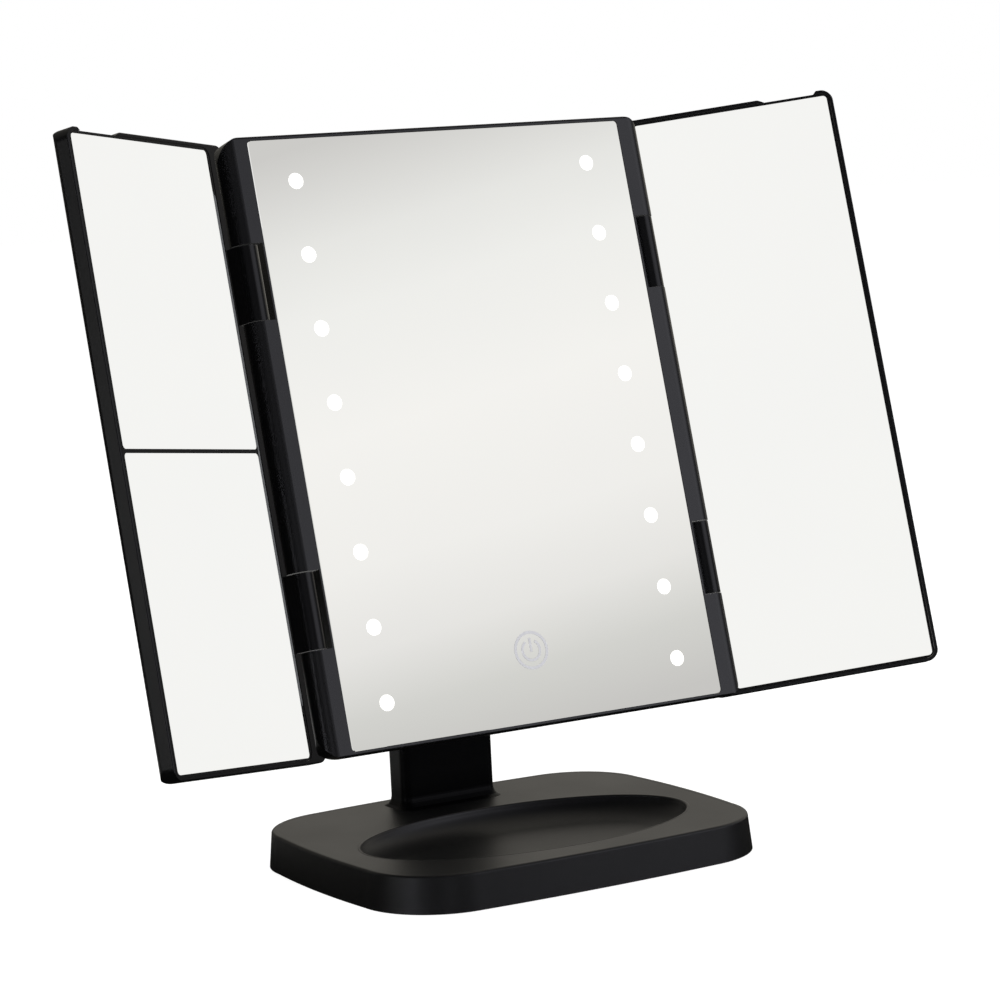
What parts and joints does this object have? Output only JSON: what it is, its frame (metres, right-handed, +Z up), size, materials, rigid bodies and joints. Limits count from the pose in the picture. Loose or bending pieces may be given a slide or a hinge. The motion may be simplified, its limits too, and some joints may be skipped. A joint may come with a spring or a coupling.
{
  "type": "trifold vanity mirror",
  "caption": "Table vanity mirror with a tilting lit centre panel, two folding side wings, a curved neck and a tray in its oval-dished base.",
  "frame": {"origin": "centre of the base's footprint, on the table under the rubber feet", "axes": "+Z up, the mirror faces -Y, +X to the viewer's right along the greatest width"},
  "size_m": [0.3345, 0.1344, 0.2841],
  "materials": {
    "black_abs": "satin moulded ABS, black",
    "dark_abs": "matt moulded ABS, black",
    "silvered_glass": "silvered mirror glass",
    "frosted_acrylic": "frosted white light window",
    "rubber_foot": "soft black rubber",
    "zinc_steel": "zinc-plated steel",
    "black_screw_steel": "black oxide steel screws",
    "nickel_plate": "nickel-plated sheet and wire",
    "led_board_white": "white solder mask",
    "led_package": "yellow phosphor light chips",
    "copper_pad": "tinned copper touch electrode",
    "circuit_board": "green solder mask",
    "cell_sleeve": "plain foil sleeve of a dry cell",
    "foam_tape": "double-sided foam pad"
  },
  "bodies": {
    "stand": {"base_shell": "black_abs", "base_plate": "dark_abs", "base_feet": "rubber_foot", "base_screws": "zinc_steel", "neck_post": "black_abs", "neck_screws": "zinc_steel"},
    "mirror_panel": {"front_frame": "black_abs", "center_mirror": "silvered_glass", "led_windows": "frosted_acrylic", "mirror_carrier": "dark_abs", "led_board_left": "led_board_white", "led_board_right": "led_board_white", "led_chips": "led_package", "touch_pad": "copper_pad", "control_board": "circuit_board", "usb_socket": "nickel_plate", "back_cover": "black_abs", "cover_screws": "black_screw_steel", "pivot_bracket": "dark_abs", "bracket_screws": "zinc_steel", "tilt_shaft": "zinc_steel", "tilt_nut": "zinc_steel", "tilt_washers": "zinc_steel", "battery_contacts": "nickel_plate", "battery_springs": "nickel_plate", "battery_cells": "cell_sleeve", "hinge_pins_left": "zinc_steel", "hinge_pins_right": "zinc_steel"},
    "battery_door": {"battery_door": "black_abs"},
    "left_wing": {"left_wing_cover": "black_abs", "left_wing_carrier": "dark_abs", "left_upper_mirror": "silvered_glass", "left_lower_mirror": "silvered_glass", "left_mirror_pads": "foam_tape"},
    "right_wing": {"right_wing_cover": "black_abs", "right_wing_carrier": "dark_abs", "right_mirror": "silvered_glass", "right_mirror_pad": "foam_tape"}
  },
  "joints": [
    {"name": "panel_tilt", "type": "hinge", "parent": "stand", "child": "mirror_panel", "pos_m": [0, 0.0257, 0.1404], "axis": [-1, 0, 0], "range_deg": [-24.5, 45.5]},
    {"name": "left_wing_fold", "type": "hinge", "parent": "mirror_panel", "child": "left_wing", "pos_m": [-0.086, -0.00044, 0.14716], "axis": [0, 0.2504, 0.9681], "range_deg": [-28.5, 151.5]},
    {"name": "right_wing_fold", "type": "hinge", "parent": "mirror_panel", "child": "right_wing", "pos_m": [0.086, -0.00044, 0.14716], "axis": [0, -0.2504, -0.9681], "range_deg": [-25.5, 154.5]},
    {"name": "battery_door_slide", "type": "slide", "parent": "mirror_panel", "child": "battery_door", "axis": [0, 0.2504, 0.9681], "range_m": [0, 0.06]}
  ]
}
